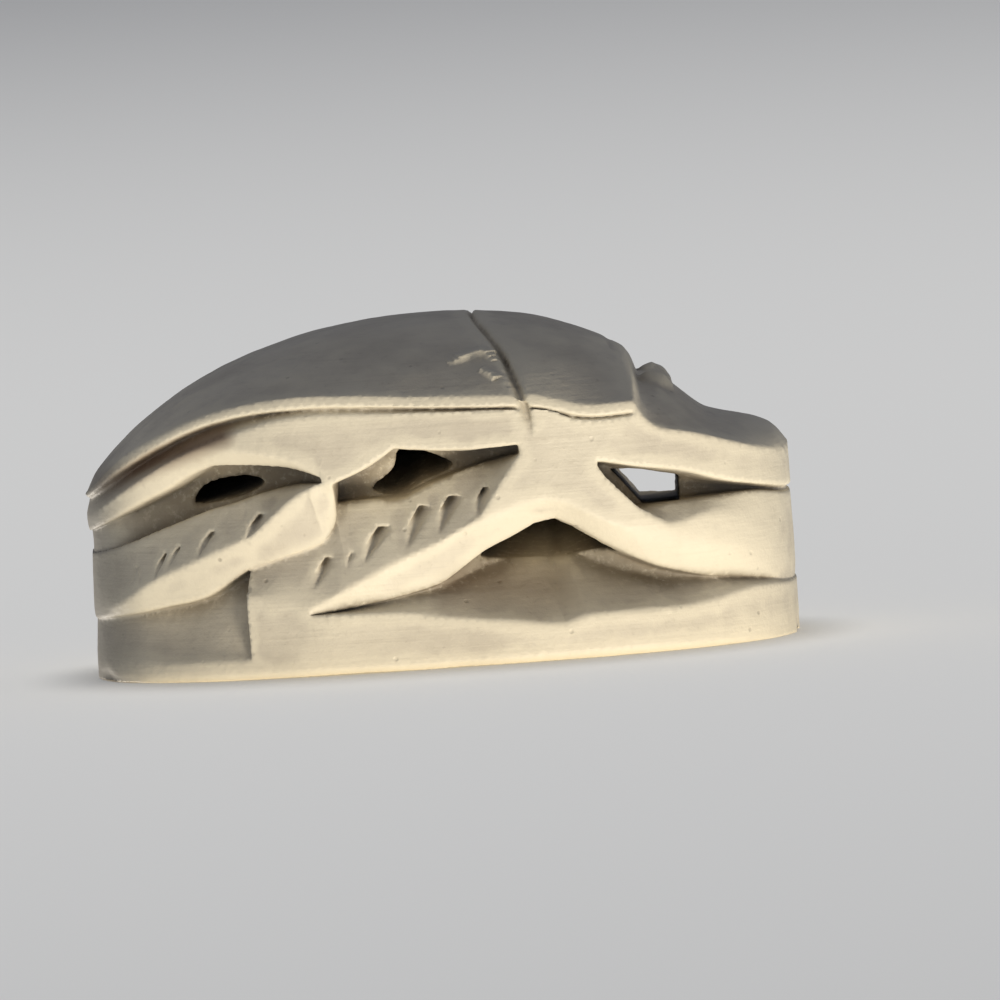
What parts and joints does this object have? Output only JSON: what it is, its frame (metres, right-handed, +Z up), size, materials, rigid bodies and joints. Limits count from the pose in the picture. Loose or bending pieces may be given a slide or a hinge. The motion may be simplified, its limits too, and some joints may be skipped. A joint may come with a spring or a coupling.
{
  "type": "scarab amulet",
  "caption": "Small carved stone beetle on an oval base, with openwork legs and a flat underside that it stands on.",
  "frame": {"origin": "middle of the flat underside of the base", "axes": "+X along the beetle towards its head, +Y across it, +Z up out of its back"},
  "size_m": [0.0182, 0.0128, 0.0088],
  "materials": {
    "stone": "matt, pale cream, hand carved"
  },
  "bodies": {
    "root": {"scarab": "stone"}
  },
  "joints": []
}
